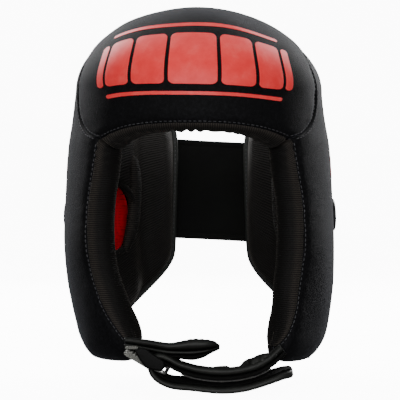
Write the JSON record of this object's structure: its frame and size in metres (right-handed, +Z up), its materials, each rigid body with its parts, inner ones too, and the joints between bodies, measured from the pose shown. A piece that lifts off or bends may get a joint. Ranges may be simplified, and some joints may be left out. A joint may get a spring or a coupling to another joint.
{
  "type": "padded wrestling head and ear guard",
  "caption": "Black padded neoprene head and ear guard with ribbed lining, red ear cups, a wide rear strap and a folded-back chin strap.",
  "frame": {"origin": "The middle of the crown lining's underside, where the top of the head meets the guard.", "axes": "+Z up, the wearer faces -Y, +X to the right of someone who looks at the face opening."},
  "size_m": [0.2038, 0.2215, 0.2736],
  "materials": {
    "neoprene": "matte jersey over foam",
    "ribbed_lining": "matte ribbed knit",
    "red_mesh": "matte knit",
    "vent_rubber": "satin",
    "binding_tape": "matte tape",
    "rear_panel": "smooth satin",
    "strap_skin": "soft satin",
    "webbing": "woven",
    "ring_metal": "satin"
  },
  "bodies": {
    "root": {"crown_panel": "neoprene", "crown_lining": "ribbed_lining", "side_panel_left": "neoprene", "side_lining_left": "ribbed_lining", "ear_cup_left": "red_mesh", "ear_vent_left": "vent_rubber", "rear_binding_left": "binding_tape", "side_panel_right": "neoprene", "side_lining_right": "ribbed_lining", "ear_cup_right": "red_mesh", "ear_vent_right": "vent_rubber", "rear_binding_right": "binding_tape", "rear_strap": "rear_panel", "chin_flap": "strap_skin", "flap_tab": "webbing", "ring_tab": "strap_skin", "chin_ring": "ring_metal", "chin_strap": "strap_skin"}
  },
  "joints": []
}
